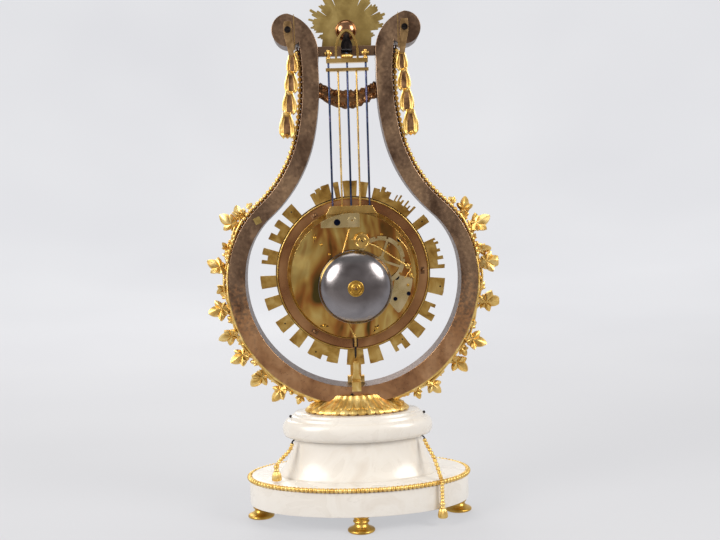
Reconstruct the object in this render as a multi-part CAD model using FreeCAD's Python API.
"""Lyre skeleton clock: oval marble base, gilt lyre, and a ring pendulum around a round striking movement.

Millimetres, +Z up. The origin is the middle of the base at the level of its feet.
The dial faces -Y. The pendulum, the hands and all wheels turn about axes along Y.
"""
import FreeCAD, Part
import math
import os

V = FreeCAD.Vector

# Base
FOOT_H = 17.0
FOOT_X = 109.6
FOOT_Y = 63.0
FOOT_R = 14.5
OVAL = 0.595
PLINTH_A = 121.0
PLINTH_TOP = 48.0
BEAD_LEDGE_Z = 43.0
BEAD_R = 2.2
BEAD_PITCH = 4.6
DRUM_TOP = 89.0
CAP_TOP = 109.0
STEP_TOP = 116.0
COLLAR_TOP = 135.0
TIE_R = 4.0
HOOK_X = 66.0
HOOK_Y = 22.0
HOOK_Z = 85.0
TASSEL_R = 4.2

# Lyre
LYRE_Y = 17.0
BELLY_Z = 260.0
BELLY_R = 134.6
INNER_Z = 261.2
INNER_R = 116.6
SHOULDER_TURN = 10.5
SHOULDER_IN = 30.9
NECK = (192.6, 450.0)
THROAT_TURN = 12.0
THROAT_OUT = 134.6
ARM_BEAD_R = 2.45
ARM_BEAD_PITCH = 5.0
BEAD_TOP_TURN = 172.8
VOLUTE_X = 62.0
VOLUTE_Z = 529.0
VOLUTE_R = 17.4
BAR_Z0 = 503.0
BAR_Z1 = 513.5
SUN_Z = 531.0
SUN_R = 48.0
MASK_R = 10.5
HUSK_Y = 12.0

# Pendulum
PIVOT_Z = 525.0
ROD_Y = 10.0
STEEL_X = 20.0
STEEL_R = 1.15
BRASS_X = 9.8
UPPER_Z0 = 493.8
UPPER_Z1 = 498.4
LOWER_Z0 = 484.9
LOWER_Z1 = 488.1
BLOCK_Z0 = 328.0
BLOCK_Z1 = 341.0
BLOCK_HALF = 27.5
BLOCK_TOP_HALF = 22.6
CZ = 267.0
RING_OUT = 83.2
RING_IN = 71.0
RING_Y = 3.0
RAY_OUT = 101.9
RAY_COUNT = 25
RAY_Y0 = -4.5
FORK_Z = 192.0

# Movement, as places (x, z) of the arbors
PLATE_R = 66.3
PLATE_Y0 = 30.0
PLATE_Y1 = 32.5
FRONT_R = 62.0
FRONT_Y0 = -12.0
FRONT_Y1 = -10.0
PIVOT_R = 1.0
PIVOT_HOLE_R = 1.05
BARREL_X = 26.0
BARREL_Z = 256.0
CENTRE = (0.0, CZ)
GOING = (BARREL_X, BARREL_Z)
STRIKE = (-BARREL_X, BARREL_Z)
ANCHOR = (0.0, 325.8)
ESCAPE = (0.0, 306.0)
HAMMER = (-57.0, 276.0)
MINUTE = (0.0, CZ + 12.0)
BELL = (-1.6, 255.4)
BELL_R = 39.0
BELL_Y0 = 42.0
BELL_Y1 = 62.0
PILLARS = [(40.0, 308.0), (32.6, 214.0), (-22.5, 210.0), (-60.8, 266.0)]

# Gears: tooth count and module
GREAT = (96, 0.5)
BARREL_PINION = (12, 0.5)
SECOND = (104, 0.4)
CENTRE_PINION = (10, 0.4)
CENTRE_WHEEL = (96, 0.4)
THIRD_PINION = (10, 0.4)
THIRD = (90, 0.4)
ESCAPE_PINION = (8, 0.4)
CANNON = (12, 0.5)
MINUTE_WHEEL = (36, 0.5)
MINUTE_PINION = (10, 0.48)
HOUR_WHEEL = (40, 0.48)
COUNT_GEAR = (72, 0.4)
PIN_PINION = (10, 0.4)
PIN_WHEEL = (70, 0.35)
FLY_PINION = (8, 0.35)
ESCAPE_TIP_R = 12.8
ESCAPE_TEETH = 30

# Dial
DIAL_OUT = 76.0
DIAL_IN = 50.0
MINUTE_ANGLE = 60.0
HOUR_ANGLE = 305.0


def pitch_r(gear):
    return gear[0] * gear[1] / 2


def mesh(gear, pinion):
    return pitch_r(gear) + pitch_r(pinion)


def meet(a, ra, b, rb, side):
    """The point at ra from a and rb from b, on the given side of the line from a to b."""
    dx = b[0] - a[0]
    dz = b[1] - a[1]
    d = math.hypot(dx, dz)
    along = (ra * ra - rb * rb + d * d) / (2 * d)
    off = side * math.sqrt(ra * ra - along * along)
    return (a[0] + (along * dx - off * dz) / d, a[1] + (along * dz + off * dx) / d)


def polar(place, r, degrees):
    a = math.radians(degrees)
    return (place[0] + r * math.cos(a), place[1] + r * math.sin(a))


def heading(a, b):
    """Direction from a to b in degrees, which is also where a wheel at a points a tooth at b."""
    return math.degrees(math.atan2(b[1] - a[1], b[0] - a[0]))


SECOND_AT = meet(CENTRE, mesh(SECOND, CENTRE_PINION), GOING, mesh(GREAT, BARREL_PINION), 1)
THIRD_AT = meet(CENTRE, mesh(CENTRE_WHEEL, THIRD_PINION), ESCAPE, mesh(THIRD, ESCAPE_PINION), 1)
COUNT_AT = meet(STRIKE, mesh(GREAT, BARREL_PINION), (-42.0, 300.0), 21.4, -1)
PIN_AT = polar(COUNT_AT, mesh(COUNT_GEAR, PIN_PINION), 75.0)
FLY_AT = polar(PIN_AT, mesh(PIN_WHEEL, FLY_PINION), 180.0)


# Building blocks

def cyl_y(place, r, y0, y1):
    return Part.makeCylinder(r, y1 - y0, V(place[0], y0, place[1]), V(0, 1, 0))


def tube_y(place, r_in, r_out, y0, y1):
    return cyl_y(place, r_out, y0, y1).cut(cyl_y(place, r_in, y0 - 1, y1 + 1))


def cyl_z(x, y, r, z0, z1):
    return Part.makeCylinder(r, z1 - z0, V(x, y, z0))


def block(x0, x1, y0, y1, z0, z1):
    return Part.makeBox(x1 - x0, y1 - y0, z1 - z0, V(x0, y0, z0))


def fuse(shapes):
    return shapes[0].multiFuse(shapes[1:]).removeSplitter() if len(shapes) > 1 else shapes[0]


def plate(points, y0, y1):
    """A flat plate in the XZ plane, from a list of (x, z) corners."""
    corners = [V(x, y0, z) for x, z in points]
    wire = Part.makePolygon(corners + corners[:1])
    return Part.Face(wire).extrude(V(0, y1 - y0, 0))


def rod(a, b, r):
    way = V(*b) - V(*a)
    return Part.makeCylinder(r, way.Length, V(*a), way)


def bent_rod(points, r):
    """A round rod through the points, with a ball at each bend."""
    pieces = [rod(a, b, r) for a, b in zip(points, points[1:])]
    pieces += [Part.makeSphere(r, V(*p)) for p in points[1:-1]]
    return fuse(pieces)


def arc_rod(place, radius, r, start, end, y):
    """A round rod bent to an arc in the XZ plane, between two angles in degrees."""
    x, z = polar(place, radius, start)
    a = math.radians(start)
    disc = Part.Face(Part.Wire(Part.makeCircle(r, V(x, y, z), V(-math.sin(a), 0, math.cos(a)))))
    return disc.revolve(V(place[0], 0, place[1]), V(0, -1, 0), end - start)


def turned_y(place, profile):
    """A solid turned about an axis along Y, from (radius, y) corners."""
    corners = [V(place[0] + r, y, place[1]) for r, y in profile]
    face = Part.Face(Part.makePolygon(corners + corners[:1]))
    return face.revolve(V(place[0], 0, place[1]), V(0, 1, 0), 360)


def turned_z(x, y, profile):
    """A solid turned about an upright axis, from (radius, z) corners."""
    corners = [V(x + r, y, z) for r, z in profile]
    face = Part.Face(Part.makePolygon(corners + corners[:1]))
    return face.revolve(V(x, y, 0), V(0, 0, 1), 360)


def oval_wire(half_width, z, half_depth=None):
    depth = half_depth or half_width * OVAL
    return Part.Wire(Part.Ellipse(V(0, 0, z), half_width, depth).toShape())


def oval_slab(half_width, z0, z1):
    return Part.Face(oval_wire(half_width, z0)).extrude(V(0, 0, z1 - z0))


def oval_loft(sections):
    """An oval block whose half width changes with height, from (half width, z) pairs."""
    return Part.makeLoft([oval_wire(a, z) for a, z in sections], True, False)


def oval_places(half_width, pitch):
    """Places spaced evenly round an oval."""
    steps = 3600
    ring = [2 * math.pi * k / steps for k in range(steps + 1)]
    path = [(half_width * math.cos(t), half_width * OVAL * math.sin(t)) for t in ring]
    lengths = [math.dist(a, b) for a, b in zip(path, path[1:])]
    count = round(sum(lengths) / pitch)
    gap = sum(lengths) / count
    places = []
    run = 0.0
    for point, length in zip(path, lengths):
        if run >= gap * len(places):
            places.append(point)
        run += length
    return places[:count]


def toothed(place, gear, y0, y1, tooth_at, bore=0.0):
    """A spur gear with slim tapered teeth. One tooth points along tooth_at, in degrees."""
    count, module = gear
    radius = count * module / 2
    tip = radius + 0.85 * module
    root = radius - 1.25 * module
    step = 360.0 / count
    outline = []
    for k in range(count):
        a = tooth_at + k * step
        outline.append(polar(place, root, a - 0.27 * step))
        outline.append(polar(place, radius, a - 0.19 * step))
        outline.append(polar(place, tip, a - 0.07 * step))
        outline.append(polar(place, tip, a + 0.07 * step))
        outline.append(polar(place, radius, a + 0.19 * step))
        outline.append(polar(place, root, a + 0.27 * step))
    body = plate(outline, y0, y1)
    return body.cut(cyl_y(place, bore, y0 - 1, y1 + 1)) if bore else body


def crossed(place, gear, y0, y1, tooth_at, holes=5):
    """A gear lightened by round holes between its rim and its hub."""
    wheel = toothed(place, gear, y0, y1, tooth_at)
    inner = pitch_r(gear) - 2.5
    middle = (inner + 3.0) / 2
    hole = min((inner - 3.0) / 2, middle * math.sin(math.pi / holes) - 0.7)
    for k in range(holes):
        spot = polar(place, middle, 360.0 * k / holes + 18)
        wheel = wheel.cut(cyl_y(spot, hole, y0 - 1, y1 + 1))
    return wheel


def gap_towards(a, b, gear):
    """Angle for a wheel at a, so that a gap between teeth points at b."""
    return heading(a, b) + 180.0 / gear[0]


def arbor(place, r=1.4, front=FRONT_Y1 + 0.4, rear=PLATE_Y0 - 0.4):
    """A shaft between the plates, with a finer pivot at each end."""
    shaft = cyl_y(place, r, front, rear)
    pivots = cyl_y(place, PIVOT_R, FRONT_Y0 + 0.3, PLATE_Y1 - 0.3)
    return shaft.fuse(pivots)


# Base

def feet():
    profile = [(0, 0), (FOOT_R, 0), (FOOT_R, 2.2), (12.4, 4.4), (7.2, 6.8), (6.4, 9.0), (8.6, 10.4)]
    profile += [(8.6, 12.0), (6.8, 13.0), (10.2, 15.2), (10.2, FOOT_H), (0, FOOT_H)]
    spots = [(FOOT_X, 0), (-FOOT_X, 0), (0, FOOT_Y), (0, -FOOT_Y)]
    return Part.makeCompound([turned_z(x, y, profile) for x, y in spots])


def plinth():
    lower = oval_slab(PLINTH_A, FOOT_H, BEAD_LEDGE_Z)
    upper = Part.Face(oval_wire(PLINTH_A - 2.7, BEAD_LEDGE_Z, PLINTH_A * OVAL - 2.7))
    body = lower.fuse(upper.extrude(V(0, 0, PLINTH_TOP - BEAD_LEDGE_Z)))
    body = body.cut(cyl_z(0, 0, TIE_R, 0, PLINTH_TOP + 1))
    return body.cut(cyl_z(0, 0, 12, 0, FOOT_H + 8))


def plinth_bead(x, y, level):
    """A ball with a flat foot, which stands on the ledge."""
    ball = Part.makeSphere(BEAD_R, V(x, y, level))
    return ball.cut(cyl_z(x, y, BEAD_R, level - 2 * BEAD_R, BEAD_LEDGE_Z))


def plinth_beads():
    level = BEAD_LEDGE_Z + BEAD_R - 0.25
    return Part.makeCompound([plinth_bead(x, y, level) for x, y in oval_places(PLINTH_A, BEAD_PITCH)])


def pedestal_drum():
    waist = [(88, PLINTH_TOP), (86.5, 51.5), (82, 57.5), (77.5, 66), (73.5, 76), (70, DRUM_TOP)]
    body = oval_loft(waist).cut(cyl_z(0, 0, TIE_R, 0, DRUM_TOP + 1))
    return body.cut(chain_hooks())


def pedestal_cap():
    edge = [(77, DRUM_TOP), (81.2, 91.5), (82.7, 97), (82.4, 102), (79.8, 107), (76, CAP_TOP)]
    body = oval_loft(edge).fuse(oval_slab(72, CAP_TOP, STEP_TOP))
    return body.cut(cyl_z(0, 0, TIE_R, 0, STEP_TOP + 1))


def leaf_collar():
    slope = [(58, STEP_TOP), (57, 118.5), (50, 124), (41, 129.5), (34.5, COLLAR_TOP)]
    return oval_loft(slope).cut(lyre_frame()).cut(cyl_z(0, 0, TIE_R, 0, 200))


def tie_rod():
    shaft = cyl_z(0, 0, TIE_R, FOOT_H + 3, STEP_TOP + 12)
    corners = [V(9 * math.cos(k * math.pi / 3), 9 * math.sin(k * math.pi / 3), FOOT_H + 3) for k in range(6)]
    nut = Part.Face(Part.makePolygon(corners + corners[:1])).extrude(V(0, 0, 5))
    return Part.makeCompound([shaft, nut.cut(shaft)])


def chain_hooks():
    hooks = []
    for side in (1, -1):
        points = [(side * (HOOK_X - 9), HOOK_Y, HOOK_Z), (side * (HOOK_X + 8), HOOK_Y, HOOK_Z)]
        points.append((side * (HOOK_X + 9), HOOK_Y, HOOK_Z + 3))
        hooks.append(bent_rod(points, 1.1))
    return Part.makeCompound(hooks)


def tassel(x, y, top, tip=1.0):
    knot = [(0, top + 2), (2.4, top + 1), (2.6, top - 2), (2.0, top - 3)]
    profile = knot + [(TASSEL_R * tip, top - 13), (0, top - 13)]
    return turned_z(x, y, profile)


def tassel_chain_left():
    """Hangs from its hook and comes to rest on the plinth."""
    links = [(72.4, HOOK_Y, HOOK_Z - 3.2), (80.0, 29.0, 75.0), (86.4, 34.4, 69.2), (88.6, 38.0, 65.0)]
    return fuse([bent_rod(links, 1.8), tassel(88.6, 38.5, 65.8)])


def tassel_chain_right():
    """Hangs from its hook and passes over the edge of the plinth."""
    links = [(-72.4, HOOK_Y, HOOK_Z - 3.2), (-80.0, 36.0, 68.5), (-84.6, 50.0, 54.0)]
    links += [(-86.2, 55.0, 50.0), (-86.6, 56.5, 44.0), (-86.6, 56.5, 25.0)]
    return fuse([bent_rod(links, 1.8), tassel(-86.6, 56.5, 24.0)])


# Lyre

def arc(a, b, c):
    return Part.Arc(V(a[0], -LYRE_Y, a[1]), V(b[0], -LYRE_Y, b[1]), V(c[0], -LYRE_Y, c[1])).toShape()


def line(a, b):
    return Part.makeLine(V(a[0], -LYRE_Y, a[1]), V(b[0], -LYRE_Y, b[1]))


def arc_between(centre, radius, start, end):
    return arc(polar(centre, radius, start), polar(centre, radius, (start + end) / 2), polar(centre, radius, end))


def arm_arcs(belly_z, belly_r):
    """The belly, shoulder, neck and throat of one outline, as centre, radius, start and end."""
    belly = (0, belly_z)
    shoulder = polar(belly, SHOULDER_IN, SHOULDER_TURN)
    shoulder_r = belly_r - SHOULDER_IN
    neck_r = math.dist(shoulder, NECK) - shoulder_r
    hip = heading(shoulder, NECK)
    throat = polar(NECK, THROAT_OUT, THROAT_TURN)
    return [
        (belly, belly_r, -90, SHOULDER_TURN),
        (shoulder, shoulder_r, SHOULDER_TURN, hip),
        (NECK, neck_r, 180 + hip, 180 + THROAT_TURN),
        (throat, neck_r + THROAT_OUT, 180 + THROAT_TURN, 180),
    ]


def half_lyre_edges():
    """Half of the lyre's outline, from the bottom outside up to the volute and back down inside."""
    outer = arm_arcs(BELLY_Z, BELLY_R)
    inner = arm_arcs(INNER_Z, INNER_R)
    throat, throat_r, throat_start, _ = outer.pop()
    volute = (VOLUTE_X, VOLUTE_Z)
    notch = meet(throat, throat_r, volute, VOLUTE_R, 1)
    outer.append((throat, throat_r, throat_start, heading(throat, notch)))
    crown = polar(volute, VOLUTE_R, 90)
    brow = (31.0, 497.0)
    chin = polar(inner[-1][0], inner[-1][1], 180)
    half = math.sqrt(0.5)
    cheek = (VOLUTE_X - (VOLUTE_X - brow[0]) * half, brow[1] + (crown[1] - brow[1]) * half)
    edges = [arc_between(*piece) for piece in outer]
    edges.append(arc(notch, polar(volute, VOLUTE_R, 339), crown))
    edges.append(arc(crown, cheek, brow))
    edges.append(line(brow, chin))
    edges += [arc_between(centre, radius, end, start) for centre, radius, start, end in reversed(inner)]
    edges.append(line((0, INNER_Z - INNER_R), (0, BELLY_Z - BELLY_R)))
    return edges


def lyre_frame():
    half = Part.Face(Part.Wire(half_lyre_edges())).extrude(V(0, 2 * LYRE_Y, 0))
    boss = cyl_z(0, 0, 12, STEP_TOP, BELLY_Z - BELLY_R + 4)
    whole = fuse([half, half.mirror(V(0, 0, 0), V(1, 0, 0)), boss])
    return whole.cut(cyl_z(0, 0, TIE_R, 0, STEP_TOP + 12))


def bead_string(centre, radius, start, end):
    count = round(radius * math.radians(abs(end - start)) / ARM_BEAD_PITCH)
    spots = [polar(centre, radius, start + (end - start) * k / count) for k in range(count)]
    return [Part.makeSphere(ARM_BEAD_R, V(x, 0, z)) for x, z in spots]


def arm_beads():
    """Beads on a wire that follows the outside of each shoulder, neck and throat."""
    pieces = []
    for centre, radius, start, end in arm_arcs(BELLY_Z, BELLY_R)[1:]:
        convex = start == SHOULDER_TURN
        r = radius + (ARM_BEAD_R + 0.25) * (1 if convex else -1)
        stop = BEAD_TOP_TURN if end == 180 else end
        pieces.append(arc_rod(centre, r, 0.9, min(start, stop), max(start, stop), 0))
        pieces += bead_string(centre, r, start, stop)
    string = pieces[0].multiFuse(pieces[1:])
    return Part.makeCompound([string, string.mirror(V(0, 0, 0), V(1, 0, 0))])


def ivy_leaf(angle, lean, size):
    """One pointed leaf standing out from the branch."""
    base = polar((0, BELLY_Z), BELLY_R + 2.5, angle)
    edge = [(0, 1.2), (0.25, 6), (0.42, 11), (0.6, 7)]
    shape = [(t, -half) for t, half in edge] + [(1, 0)] + edge[::-1]
    way = math.radians(angle + lean)
    points = []
    for along, across in shape:
        u = along * size
        w = across * size / 26
        x = base[0] + u * math.cos(way) - w * math.sin(way)
        z = base[1] + u * math.sin(way) + w * math.cos(way)
        points.append((x, z))
    return plate(points, -12.0, -9.0)


def ivy_branch(side):
    belly = (0, BELLY_Z)
    shoulder, shoulder_r, _, _ = arm_arcs(BELLY_Z, BELLY_R)[1]
    gap = 2.3
    pieces = [arc_rod(belly, BELLY_R + gap, 2.0, -66, SHOULDER_TURN, -10.5)]
    pieces.append(arc_rod(shoulder, shoulder_r + gap, 2.0, SHOULDER_TURN, 34, -10.5))
    leaves = [(27, 25), (7, 26), (-11, 22), (-22, 20), (-33, 21), (-44, 20), (-55, 19)]
    for k, (angle, size) in enumerate(leaves):
        pieces.append(ivy_leaf(angle, 14 if k % 2 else -12, size))
    for angle in (17, -3, -28, -50, -62):
        x, z = polar(belly, BELLY_R + 7.0, angle)
        pieces.append(Part.makeSphere(3.4, V(x, -10.5, z)))
    branch = fuse(pieces)
    return branch if side > 0 else branch.mirror(V(0, 0, 0), V(1, 0, 0))


def front_rosettes():
    """A rosette on the front of each volute, and a leaf on the front of each neck."""
    pieces = []
    for side in (1, -1):
        place = (side * VOLUTE_X, VOLUTE_Z)
        petals = [cyl_y(polar(place, 8.0, 45 * k), 4.2, -LYRE_Y - 3, -LYRE_Y) for k in range(8)]
        eye = turned_y(place, [(0, -LYRE_Y - 6), (3.5, -LYRE_Y - 5), (5, -LYRE_Y), (0, -LYRE_Y)])
        pieces.append(fuse([cyl_y(place, 8.5, -LYRE_Y - 2, -LYRE_Y)] + petals + [eye]))
        leaf = [(34, 470), (40, 492), (46, 512), (53, 508), (52, 488), (44, 470), (39, 440)]
        pieces.append(plate([(side * x, z) for x, z in leaf], -LYRE_Y - 3, -LYRE_Y))
    return Part.makeCompound(pieces)


def husk(x, y, top, width, height):
    """A bell-shaped husk."""
    profile = [(0, top), (width * 0.16, top), (width * 0.44, top - height * 0.45)]
    profile += [(width * 0.5, top - height * 0.72), (width * 0.24, top - height), (0, top - height)]
    return turned_z(x, y, profile)


def husk_drops():
    drops = []
    for side in (1, -1):
        strap = block(-3.5, 3.5, LYRE_Y, LYRE_Y + 1.6, 500, VOLUTE_Z + 4)
        strap.translate(V(side * (VOLUTE_X - 2), 0, 0))
        strap = strap.cut(cyl_y((side * VOLUTE_X, VOLUTE_Z), 1.6, 0, 30))
        pieces = [strap]
        top = 503.0
        for width, height, x in [(12.0, 20, 58.5), (14.0, 22, 60.5), (15.5, 24, 63.0), (17.0, 27, 66.5)]:
            pieces.append(husk(side * x, HUSK_Y, top, width, height))
            top -= height - 1.5
        stem = block(-2.4, 2.4, HUSK_Y - 2, LYRE_Y + 1.6, 500, 505)
        stem.translate(V(side * 58.5, 0, 0))
        drops.append(fuse(pieces + [stem]))
    return Part.makeCompound(drops)


def husk_screws():
    screws = []
    for side in (1, -1):
        place = (side * VOLUTE_X, VOLUTE_Z)
        head = cyl_y(place, 3.4, LYRE_Y + 1.6, LYRE_Y + 3.4)
        slot = block(place[0] - 4, place[0] + 4, LYRE_Y + 2.8, LYRE_Y + 4, place[1] - 0.4, place[1] + 0.4)
        screws.append(head.cut(slot).fuse(cyl_y(place, 1.6, LYRE_Y, LYRE_Y + 1.7)))
    return Part.makeCompound(screws)


def crossbar():
    bar = block(-34, 34, -8, -2, BAR_Z0, BAR_Z1)
    return bar.cut(lyre_frame())


def sun_rays():
    points = []
    count = 30
    for k in range(count + 1):
        angle = -22 + 224.0 * k / count
        reach = SUN_R * 0.74 if k % 2 else SUN_R
        reach -= 0 if k == count // 2 + 1 else 2.5 * (1 + math.sin(2.3 * k))
        points.append(polar((0, SUN_Z), reach, angle))
    points += [(-12, SUN_Z - 26), (12, SUN_Z - 26)]
    return plate(points, -9.5, -8.0).cut(cyl_y((0, SUN_Z), 4, -20, 0)).cut(lyre_frame())


def sun_mask():
    """A head in front of the rays, its domed back behind them, joined through the plate."""
    front = [(0, -9.5), (15.0, -9.5), (14.0, -15), (9.5, -20), (3.5, -22), (0, -22)]
    rear = [(0, -8.0), (MASK_R, -8.0), (MASK_R * 0.9, -4.6), (MASK_R * 0.6, -2.0)]
    rear += [(MASK_R * 0.25, -1.0), (0, -0.9)]
    place = (0, SUN_Z)
    return fuse([turned_y(place, front), turned_y(place, rear), cyl_y(place, 4, -10, -7.5)])


def swag():
    """A garland hung between the arms, above the dial."""
    steps = 16
    half = 30.0
    top = []
    bottom = []
    for k in range(steps + 1):
        x = -half + 2 * half * k / steps
        sag = (x / half) ** 2
        top.append((x, 463.0 + 13.0 * sag))
        bottom.append((x, 450.0 + 12.0 * sag - (1.2 if k % 2 else 0)))
    return plate(top + bottom[::-1], -15.0, -10.5).cut(lyre_frame())


# Pendulum and its suspension

def knife_edge():
    foot = block(-6, 6, -2, 4, BAR_Z0 + 2, BAR_Z1)
    arm = block(-4.3, 4.3, 3, 16, BAR_Z0 + 6, PIVOT_Z - 8)
    ridge = plate([(-4.3, PIVOT_Z - 8), (4.3, PIVOT_Z - 8), (0, PIVOT_Z)], 3, 16)
    return fuse([foot, arm, ridge])


def stirrup():
    y0 = ROD_Y - 3
    y1 = ROD_Y + 3
    outer = block(-12.5, 12.5, y0, y1, UPPER_Z1, PIVOT_Z - 4).fuse(cyl_y((0, PIVOT_Z - 6), 12.5, y0, y1))
    outer = outer.cut(block(-20, 20, 0, 30, PIVOT_Z + 5, PIVOT_Z + 20))
    window = block(-8, 8, 0, 30, UPPER_Z1 - 1, PIVOT_Z + 0.3)
    return outer.cut(window).removeSplitter()


def rod_bars():
    upper = block(-22.3, 22.3, ROD_Y - 4, ROD_Y + 4, UPPER_Z0, UPPER_Z1)
    lower = block(-22.9, 22.9, ROD_Y - 4, ROD_Y + 4, LOWER_Z0, LOWER_Z1)
    for x in (0, STEEL_X, -STEEL_X):
        upper = upper.cut(cyl_z(x, ROD_Y, STEEL_R, 0, 600))
        lower = lower.cut(cyl_z(x, ROD_Y, STEEL_R, 0, 600))
    return Part.makeCompound([upper, lower])


def steel_rods():
    middle = cyl_z(0, ROD_Y, STEEL_R, BLOCK_Z1, UPPER_Z1 + 6)
    sides = [cyl_z(s * STEEL_X, ROD_Y, STEEL_R, BLOCK_Z1, UPPER_Z1 + 9.5) for s in (1, -1)]
    return Part.makeCompound([middle] + sides)


def brass_rods():
    return Part.makeCompound([cyl_z(s * BRASS_X, ROD_Y, 1.0, BLOCK_Z1, LOWER_Z0) for s in (1, -1)])


def rod_block():
    step = BLOCK_Z0 + 4
    lower = [(-BLOCK_HALF, step), (BLOCK_HALF, step)]
    sides = lower + [(BLOCK_TOP_HALF, BLOCK_Z1), (-BLOCK_TOP_HALF, BLOCK_Z1)]
    upper = plate(sides, RING_Y, 14)
    lip = block(-BLOCK_HALF, BLOCK_HALF, RING_Y, 12, BLOCK_Z0, step)
    return upper.fuse(lip).removeSplitter()


def thumb_nuts():
    nuts = []
    for side in (1, -1):
        x = side * STEEL_X
        top = UPPER_Z1 + 8.5
        profile = [(STEEL_R, UPPER_Z1), (3.2, UPPER_Z1), (3.2, top - 3)]
        profile += [(2.2, top - 2), (2.2, top), (STEEL_R, top)]
        nuts.append(turned_z(x, ROD_Y, profile))
    return Part.makeCompound(nuts)


def rating_nut():
    profile = [(1.2, UPPER_Z1 + 0.3), (6.0, UPPER_Z1 + 0.3), (6.7, UPPER_Z1 + 1.3), (6.7, UPPER_Z1 + 4.2)]
    profile += [(5.8, UPPER_Z1 + 5.2), (1.2, UPPER_Z1 + 5.2)]
    nut = turned_z(0, ROD_Y, profile)
    for k in range(12):
        a = math.radians(30 * k)
        nut = nut.cut(cyl_z(6.9 * math.cos(a), ROD_Y + 6.9 * math.sin(a), 0.5, 0, 600))
    return nut


def pendulum_ring():
    rolled = [(RING_IN, -RING_Y), (RING_OUT - 4, -RING_Y), (RING_OUT - 3, -RING_Y)]
    rolled.append((RING_OUT, -RING_Y + 1.6))
    rolled += [(RING_OUT, RING_Y - 0.4), (RING_OUT - 1.6, RING_Y + 1.2), (RING_OUT - 3.2, RING_Y + 1.2)]
    rolled += [(RING_OUT - 4.2, RING_Y), (RING_IN, RING_Y)]
    ring = turned_y(CENTRE, rolled)
    return ring.cut(block(-30, 30, RING_Y, 20, BLOCK_Z0 - 2, BLOCK_Z1 + 4))


def ray_ring():
    ring = tube_y(CENTRE, 74, 88, RAY_Y0, -RING_Y)
    rays = []
    for k in range(RAY_COUNT):
        angle = 360.0 * k / RAY_COUNT + 2.0 * math.sin(2.1 * k)
        half = 4.6 + 1.3 * math.sin(3.7 * k + 0.6)
        reach = RAY_OUT - 2.2 * (1 + math.sin(1.9 * k)) if k % 5 else RAY_OUT - 0.4
        a = math.radians(angle)
        step = [(86, -half), (reach, -half), (reach, half * 0.2)]
        step += [(reach - 3, half * 0.3), (reach - 3, half), (86, half)]
        corners = []
        for r, w in step:
            corners.append((r * math.cos(a) - w * math.sin(a), CZ + r * math.sin(a) + w * math.cos(a)))
        rays.append(plate(corners, RAY_Y0, -RING_Y))
    return fuse([ring] + rays)


def ring_clips():
    """Three small straps with screws that hold the ray ring to the pendulum ring."""
    clips = []
    for angle in (58, 179, -55):
        strap = block(73.0, 78.6, RING_Y, RING_Y + 1.2, CZ - 4, CZ + 4)
        strap.rotate(V(0, 0, CZ), V(0, -1, 0), angle)
        head = cyl_y(polar(CENTRE, 76, angle), 1.8, RING_Y + 1.2, RING_Y + 2.4)
        clips.append(strap.fuse(head))
    return Part.makeCompound(clips)


def crutch_fork():
    body = block(-5, 5, RING_Y + 1.2, 12, FORK_Z - 8, FORK_Z + 5)
    foot = block(-5, 5, RING_Y, RING_Y + 1.3, FORK_Z - 3, FORK_Z + 4)
    slot = block(-1.45, 1.45, RING_Y + 1.5, 20, FORK_Z - 4, FORK_Z + 10)
    return body.fuse(foot).removeSplitter().cut(slot)


def pointer():
    return turned_z(0, ROD_Y, [(0, FORK_Z - 8), (1.1, FORK_Z - 8), (1.1, 177.0), (0.3, 174.6), (0, 174.6)])


# Movement

def square_wire(half_x, half_y, z):
    """A level rectangle round the line of the pendulum rods."""
    sides = [(-half_x, -half_y), (half_x, -half_y), (half_x, half_y), (-half_x, half_y), (-half_x, -half_y)]
    return Part.makePolygon([V(x, ROD_Y + y, z) for x, y in sides])


def index_post():
    """A square brass obelisk on the lyre, with its tip under the pendulum's pointer."""
    low = INNER_Z - INNER_R
    foot = block(-5, 5, ROD_Y - 4, LYRE_Y, low - 0.4, low + 5).cut(lyre_frame())
    lip = block(-5, 5, LYRE_Y, LYRE_Y + 2, low - 6.3, low + 5)
    shaft = Part.makeLoft([square_wire(4.6, 4.0, low + 5), square_wire(3.0, 2.0, 170)], True, True)
    tip = Part.makeCone(1.9, 0.3, 2.0, V(0, ROD_Y, 170))
    return fuse([foot, lip, shaft, tip])


def front_bracket():
    """Carries the movement from the bottom of the lyre, in front of the pendulum ring."""
    right = [(6, 145), (6, 190), (10, 204), (10, 217)]
    left = [(-x, z) for x, z in right[::-1]]
    upright = plate(right + left, -16, FRONT_Y0)
    flange = block(-9.4, 9.4, -16, -8, 145, 152.5)
    screws = [cyl_y((s * 6, 211), 2.2, -17.4, -16) for s in (1, -1)]
    return fuse([upright, flange] + screws).cut(lyre_frame())


ARBORS = [CENTRE, GOING, STRIKE, SECOND_AT, THIRD_AT, ESCAPE, ANCHOR, COUNT_AT, PIN_AT, FLY_AT, HAMMER]


def pierced(body, places, r):
    for place in places:
        body = body.cut(cyl_y(place, r, -60, 90))
    return body


def back_plate():
    body = cyl_y(CENTRE, PLATE_R, PLATE_Y0, PLATE_Y1)
    body = pierced(body, ARBORS, PIVOT_HOLE_R)
    body = body.cut(cyl_y(COUNT_AT, 1.45, 0, 60)).cut(cyl_y(HAMMER, 1.25, 0, 60))
    return pierced(body, PILLARS, 1.8)


def front_plate():
    body = cyl_y(CENTRE, FRONT_R, FRONT_Y0, FRONT_Y1)
    body = pierced(body, ARBORS, PIVOT_HOLE_R)
    body = body.cut(cyl_y(CENTRE, 1.55, -60, 0))
    for place in (GOING, STRIKE):
        body = body.cut(cyl_y(place, 2.55, -60, 0))
    body = pierced(body, PILLARS, 1.8)
    return body.fuse(cyl_y(MINUTE, 1.0, FRONT_Y0 - 6.5, FRONT_Y0 + 0.5)).removeSplitter()


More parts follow.
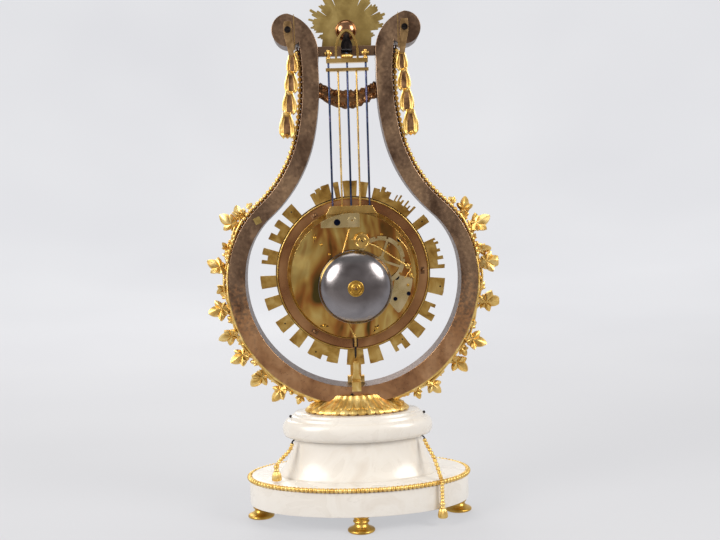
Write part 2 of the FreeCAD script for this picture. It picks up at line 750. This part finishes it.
def pillars():
    """Turned pillars between the plates, each with a taper pin through its rear end."""
    pieces = []
    for place in PILLARS:
        post = cyl_y(place, 2.6, FRONT_Y1, PLATE_Y0)
        collar = cyl_y(place, 3.2, 26, PLATE_Y0)
        tenons = cyl_y(place, 1.8, FRONT_Y0, PLATE_Y1 + 3.2)
        slope = heading(CENTRE, place) + 60
        a = polar(place, 4.2, slope)
        b = polar(place, -4.2, slope)
        pin = Part.makeCone(0.8, 0.5, 8.4, V(a[0], PLATE_Y1 + 1.6, a[1]), V(b[0] - a[0], 0, b[1] - a[1]))
        pieces.append(fuse([post, collar, tenons]).cut(pin))
        pieces.append(pin)
    return Part.makeCompound(pieces)


def anchor_cock():
    """The bridge behind the plate that holds the anchor's rear pivot."""
    disc = cyl_y(CENTRE, PLATE_R, 36, 38.6)
    slab = block(-8, 33, 36, 38.6, 318.5, 337)
    bridge = slab.common(disc)
    foot = block(12, 33, PLATE_Y1, 36, 318.5, 337).common(cyl_y(CENTRE, PLATE_R, 20, 40))
    hub = cyl_y(ANCHOR, 4.0, 36, 39.6)
    body = fuse([bridge, foot, hub])
    return body.cut(cyl_y(ANCHOR, PIVOT_HOLE_R, 30, 50)).cut(cyl_y((15.8, 324), 1.6, 30, 50))


def screw(place, head_r, y):
    head = cyl_y(place, head_r, y, y + 1.6)
    return head.cut(block(place[0] - 5, place[0] + 5, y + 1.1, y + 3, place[1] - 0.35, place[1] + 0.35))


def plate_screws():
    pieces = [screw((15.8, 324), 3.4, 38.6).fuse(cyl_y((15.8, 324), 1.6, PLATE_Y1, 38.8))]
    spots = [(-45.5, 264.0, 3.0), (-43.8, 240.8, 2.2), (-58.1, 246.0, 2.2)]
    spots += [(-49.5, 303.5, 2.2), (24.0, 268.0, 2.4)]
    pieces += [screw((x, z), r, PLATE_Y1) for x, z, r in spots]
    return Part.makeCompound(pieces)


def anchor_crutch():
    """Anchor, its arbor and the crutch that reaches down to the pendulum ring."""
    shaft = cyl_y(ANCHOR, 1.4, FRONT_Y1 + 0.4, PLATE_Y0 - 0.4)
    pivots = cyl_y(ANCHOR, PIVOT_R, FRONT_Y0 + 0.3, 39.0)
    arms = tube_y(ESCAPE, 14.4, 17.0, 17, 18.6)
    arms = arms.common(plate([ESCAPE, polar(ESCAPE, 40, 40), polar(ESCAPE, 40, 140)], 10, 25))
    web = block(-2.5, 2.5, 17, 18.6, 322, 326)
    hub = cyl_y(ANCHOR, 3.0, 17, 18.6)
    boss = cyl_y(ANCHOR, 2.6, 32.8, 35.2)
    path = [(0, 34, 325.8), (11, 34, 290), (11, 34, 225), (0, 34, 200), (0, 34, FORK_Z), (0, 6.0, FORK_Z)]
    return fuse([shaft, pivots, arms, web, hub, boss, bent_rod(path, 1.0)])


def escape_wheel():
    outline = []
    for k in range(ESCAPE_TEETH):
        a = 360.0 * k / ESCAPE_TEETH
        outline.append(polar(ESCAPE, ESCAPE_TIP_R - 2.4, a - 4.5))
        outline.append(polar(ESCAPE, ESCAPE_TIP_R, a - 0.4))
        outline.append(polar(ESCAPE, ESCAPE_TIP_R, a + 0.4))
        outline.append(polar(ESCAPE, ESCAPE_TIP_R - 2.4, a + 2.5))
    wheel = plate(outline, 17, 18.6)
    for k in range(5):
        wheel = wheel.cut(cyl_y(polar(ESCAPE, 6.0, 72 * k), 2.4, 10, 30))
    pinion = toothed(ESCAPE, ESCAPE_PINION, 20.4, 23.4, gap_towards(ESCAPE, THIRD_AT, ESCAPE_PINION))
    return fuse([wheel, pinion, cyl_y(ESCAPE, 1.0, FRONT_Y0 + 0.3, PLATE_Y1 - 0.3)])


def third_wheel():
    wheel = crossed(THIRD_AT, THIRD, 21, 22.6, heading(THIRD_AT, ESCAPE))
    pinion = toothed(THIRD_AT, THIRD_PINION, 24.4, 27.4, gap_towards(THIRD_AT, CENTRE, THIRD_PINION))
    return fuse([wheel, pinion, cyl_y(THIRD_AT, 1.0, FRONT_Y0 + 0.3, PLATE_Y1 - 0.3)])


def second_wheel():
    wheel = crossed(SECOND_AT, SECOND, -7.2, -5.6, heading(SECOND_AT, CENTRE))
    pinion = toothed(SECOND_AT, BARREL_PINION, -2.6, 0.6, gap_towards(SECOND_AT, GOING, BARREL_PINION))
    return fuse([wheel, pinion, arbor(SECOND_AT, 1.2)])


def centre_wheel():
    """Centre arbor with its wheel and pinion, and the cannon pinion that carries the minute hand."""
    wheel = crossed(CENTRE, CENTRE_WHEEL, 25, 26.6, heading(CENTRE, THIRD_AT))
    pinion = toothed(CENTRE, CENTRE_PINION, -8.0, -4.8, gap_towards(CENTRE, SECOND_AT, CENTRE_PINION))
    shaft = cyl_y(CENTRE, 1.4, FRONT_Y1 + 0.4, PLATE_Y0 - 0.4)
    front = cyl_y(CENTRE, 1.5, -28.5, -4.8)
    rear = cyl_y(CENTRE, PIVOT_R, 0, PLATE_Y1 - 0.3)
    cannon = toothed(CENTRE, CANNON, -14.6, -12.4, heading(CENTRE, MINUTE))
    pipe = cyl_y(CENTRE, 2.2, -27.4, -12.4)
    return fuse([wheel, pinion, shaft, front, rear, cannon, pipe])


def barrel(place, pinion_at):
    """A spring barrel with its great wheel, and a winding square at the front."""
    wheel = toothed(place, GREAT, -2, 0, heading(place, pinion_at))
    drum = cyl_y(place, 21.0, 0, 20.5)
    shaft = cyl_y(place, 2.5, -17.5, 26)
    pivot = cyl_y(place, PIVOT_R, 20, PLATE_Y1 - 0.3)
    square = block(place[0] - 1.7, place[0] + 1.7, -21, -17.5, place[1] - 1.7, place[1] + 1.7)
    return fuse([wheel, drum, shaft, pivot, square])


def going_barrel():
    return barrel(GOING, SECOND_AT)


def strike_barrel():
    return barrel(STRIKE, COUNT_AT)


def minute_wheel():
    wheel_turn = gap_towards(MINUTE, CENTRE, MINUTE_WHEEL)
    pinion_turn = gap_towards(MINUTE, CENTRE, MINUTE_PINION)
    wheel = toothed(MINUTE, MINUTE_WHEEL, -14.2, -12.8, wheel_turn, PIVOT_HOLE_R)
    pinion = toothed(MINUTE, MINUTE_PINION, -17.8, -14.2, pinion_turn, PIVOT_HOLE_R)
    return wheel.fuse(pinion)


def hour_wheel():
    wheel = toothed(CENTRE, HOUR_WHEEL, -17.2, -15.8, heading(CENTRE, MINUTE))
    pipe = cyl_y(CENTRE, 3.3, -25.6, -15.8)
    return wheel.fuse(pipe).cut(cyl_y(CENTRE, 2.28, -60, 0))


def hand(angle, reach, eye_r, bore, y0, y1):
    """A pierced hand: a ring at the arbor, a stem with an open lozenge, and a point."""
    way = 90 - angle
    side = reach * 0.055
    spots = [(2, -1.4), (reach * 0.42, -1.0), (reach * 0.56, -side), (reach * 0.72, -1.0), (reach, -0.3)]
    spots += [(reach, 0.3), (reach * 0.72, 1.0), (reach * 0.56, side), (reach * 0.42, 1.0), (2, 1.4)]
    a = math.radians(way)
    points = [(u * math.cos(a) - w * math.sin(a), CZ + u * math.sin(a) + w * math.cos(a)) for u, w in spots]
    body = plate(points, y0, y1).fuse(cyl_y(CENTRE, eye_r, y0, y1)).cut(cyl_y(CENTRE, bore, y0 - 1, y1 + 1))
    return body.cut(cyl_y(polar(CENTRE, reach * 0.56, way), side * 0.55, y0 - 1, y1 + 1))


def hour_hand():
    return hand(HOUR_ANGLE, 44.0, 5.4, 3.3, -25.0, -24.2)


def minute_hand():
    """The minute hand and the collet that holds it."""
    blade = hand(MINUTE_ANGLE, 67.0, 4.2, 1.5, -28.4, -27.4)
    collet = turned_y(CENTRE, [(0, -30.4), (2.4, -29.6), (3.0, -28.5), (0, -28.5)])
    return Part.makeCompound([blade, collet])


def count_wheel():
    """Strike second arbor, with the notched count wheel behind the plate."""
    wheel = crossed(COUNT_AT, COUNT_GEAR, -7.2, -5.6, heading(COUNT_AT, PIN_AT))
    pinion = toothed(COUNT_AT, BARREL_PINION, -2.6, 0.6, gap_towards(COUNT_AT, STRIKE, BARREL_PINION))
    rim = tube_y(COUNT_AT, 21.0, 25.5, 36, 37.6)
    gaps = 0
    for hour in range(1, 13):
        gaps += hour + 1
        a = 360.0 * gaps / 90
        notch = block(23.4, 27, 35, 39, -1.1, 1.1)
        notch.rotate(V(0, 0, 0), V(0, -1, 0), a)
        notch.translate(V(COUNT_AT[0], 0, COUNT_AT[1]))
        rim = rim.cut(notch)
    pieces = [wheel, pinion, rim, cyl_y(COUNT_AT, 4.2, 35.4, 38.4)]
    for k in range(4):
        spoke = block(0, 22, 36, 37.6, -1.2, 1.2)
        spoke.rotate(V(0, 0, 0), V(0, -1, 0), 90 * k + 20)
        spoke.translate(V(COUNT_AT[0], 0, COUNT_AT[1]))
        pieces.append(spoke)
    pieces.append(cyl_y(COUNT_AT, 1.4, FRONT_Y1 + 0.4, 39.5))
    pieces.append(cyl_y(COUNT_AT, PIVOT_R, FRONT_Y0 + 0.3, 0))
    return fuse(pieces)


def pin_wheel():
    """Carries the pins that lift the hammer."""
    wheel = crossed(PIN_AT, PIN_WHEEL, 8, 9.6, heading(PIN_AT, FLY_AT), 4)
    pinion = toothed(PIN_AT, PIN_PINION, -8.0, -4.8, gap_towards(PIN_AT, COUNT_AT, PIN_PINION))
    pins = [cyl_y(polar(PIN_AT, 10.2, 45 * k), 0.5, 9, 12.5) for k in range(8)]
    return fuse([wheel, pinion, cyl_y(PIN_AT, 1.0, FRONT_Y0 + 0.3, PLATE_Y1 - 0.3)] + pins)


def fly():
    pinion = toothed(FLY_AT, FLY_PINION, 7.2, 10.4, gap_towards(FLY_AT, PIN_AT, FLY_PINION))
    vane = block(FLY_AT[0] - 6.5, FLY_AT[0] + 6.5, 15, 27, FLY_AT[1] - 0.4, FLY_AT[1] + 0.4)
    return fuse([pinion, vane, cyl_y(FLY_AT, 1.0, FRONT_Y0 + 0.3, PLATE_Y1 - 0.3)])


def hammer():
    shaft = cyl_y(HAMMER, 1.2, FRONT_Y1 + 0.4, 45)
    pivot = cyl_y(HAMMER, PIVOT_R, FRONT_Y0 + 0.3, 0)
    arm = bent_rod([(HAMMER[0], 43.5, HAMMER[1]), (-24, 43.5, 300), (-12, 46, 304)], 0.9)
    hub = cyl_y(HAMMER, 2.6, 41.5, 45.5)
    head = turned_y((-9.7, 304), [(0, 42.5), (6.4, 42.5), (8.0, 44.2), (8.0, 48.4), (6.4, 50.2), (0, 50.2)])
    tail = bent_rod([(HAMMER[0], 14, HAMMER[1]), (-50, 14, 284)], 0.9)
    return fuse([shaft, pivot, arm, hub, head, tail])


def bell():
    outer = []
    inner = []
    for k in range(9):
        a = math.radians(90.0 * k / 8 * 0.96)
        outer.append((BELL_R * math.cos(a), BELL_Y0 + (BELL_Y1 - BELL_Y0) * math.sin(a)))
        inner.append(((BELL_R - 1.6) * math.cos(a), BELL_Y0 + (BELL_Y1 - BELL_Y0 - 1.6) * math.sin(a)))
    dome = turned_y(BELL, outer + inner[::-1])
    return dome.cut(cyl_y(BELL, 2.9, 0, 90))


def bell_stand():
    """Post and crown nut that hold the bell behind the plate."""
    foot = [(0, PLATE_Y1), (5.4, PLATE_Y1), (5.4, 34.6), (3.0, 36)]
    post = turned_y(BELL, foot + [(3.0, 55), (4.6, 59.9), (0, 59.9)])
    stud = cyl_y(BELL, 2.9, 59, 66)
    nut = turned_y(BELL, [(2.9, 62.3), (8.4, 62.3), (8.4, 64.4), (6.2, 65.6), (4.0, 68.2), (2.9, 68.2)])
    return fuse([post, stud, nut])


# Dial

def chapter_ring():
    return tube_y(CENTRE, DIAL_IN, DIAL_OUT, -22.6, -20.6)


def dial_bezel():
    """Brass bezels round the enamel, on a back ring with three feet to the front plate."""
    back = tube_y(CENTRE, DIAL_IN + 1, DIAL_OUT + 4, -20.6, -19.6)
    rolled = [(DIAL_OUT, -20.6), (DIAL_OUT, -24.6), (DIAL_OUT + 1.5, -25.8)]
    rolled += [(DIAL_OUT + 4, -24.2), (DIAL_OUT + 4, -20.6)]
    outer = turned_y(CENTRE, rolled)
    small = DIAL_IN - 2.5
    inner = turned_y(CENTRE, [(small, -20.6), (small, -23.4), (DIAL_IN, -24), (DIAL_IN, -20.6)])
    rim = tube_y(CENTRE, DIAL_IN - 2.5, DIAL_IN + 1, -20.6, -19.6)
    feet_at = [polar(CENTRE, 56, angle) for angle in (90, 215, 325)]
    legs = [cyl_y(place, 2.0, -20.0, FRONT_Y0) for place in feet_at]
    return fuse([back, outer, inner, rim] + legs)


NODES = {
    "feet": feet,
    "plinth": plinth,
    "plinth_beads": plinth_beads,
    "pedestal_drum": pedestal_drum,
    "pedestal_cap": pedestal_cap,
    "leaf_collar": leaf_collar,
    "tie_rod": tie_rod,
    "chain_hooks": chain_hooks,
    "tassel_chain_left": tassel_chain_left,
    "tassel_chain_right": tassel_chain_right,
    "lyre_frame": lyre_frame,
    "arm_beads": arm_beads,
    "ivy_branch_left": lambda: ivy_branch(1),
    "ivy_branch_right": lambda: ivy_branch(-1),
    "front_rosettes": front_rosettes,
    "husk_drops": husk_drops,
    "husk_screws": husk_screws,
    "crossbar": crossbar,
    "sun_rays": sun_rays,
    "sun_mask": sun_mask,
    "swag": swag,
    "knife_edge": knife_edge,
    "stirrup": stirrup,
    "rod_bars": rod_bars,
    "steel_rods": steel_rods,
    "brass_rods": brass_rods,
    "rod_block": rod_block,
    "thumb_nuts": thumb_nuts,
    "rating_nut": rating_nut,
    "pendulum_ring": pendulum_ring,
    "ray_ring": ray_ring,
    "ring_clips": ring_clips,
    "crutch_fork": crutch_fork,
    "pointer": pointer,
    "index_post": index_post,
    "front_bracket": front_bracket,
    "back_plate": back_plate,
    "front_plate": front_plate,
    "pillars": pillars,
    "anchor_cock": anchor_cock,
    "plate_screws": plate_screws,
    "anchor_crutch": anchor_crutch,
    "escape_wheel": escape_wheel,
    "third_wheel": third_wheel,
    "second_wheel": second_wheel,
    "centre_wheel": centre_wheel,
    "going_barrel": going_barrel,
    "minute_wheel": minute_wheel,
    "hour_wheel": hour_wheel,
    "hour_hand": hour_hand,
    "minute_hand": minute_hand,
    "strike_barrel": strike_barrel,
    "count_wheel": count_wheel,
    "pin_wheel": pin_wheel,
    "fly": fly,
    "hammer": hammer,
    "bell": bell,
    "bell_stand": bell_stand,
    "chapter_ring": chapter_ring,
    "dial_bezel": dial_bezel,
}


def main():
    os.makedirs("parts", exist_ok=True)
    for name, make in NODES.items():
        shape = make()
        print(f"{name}: {len(shape.Solids)} solids, {shape.Volume:.0f} mm3, valid {shape.isValid()}")
        shape.exportStep(f"parts/{name}.step")


main()
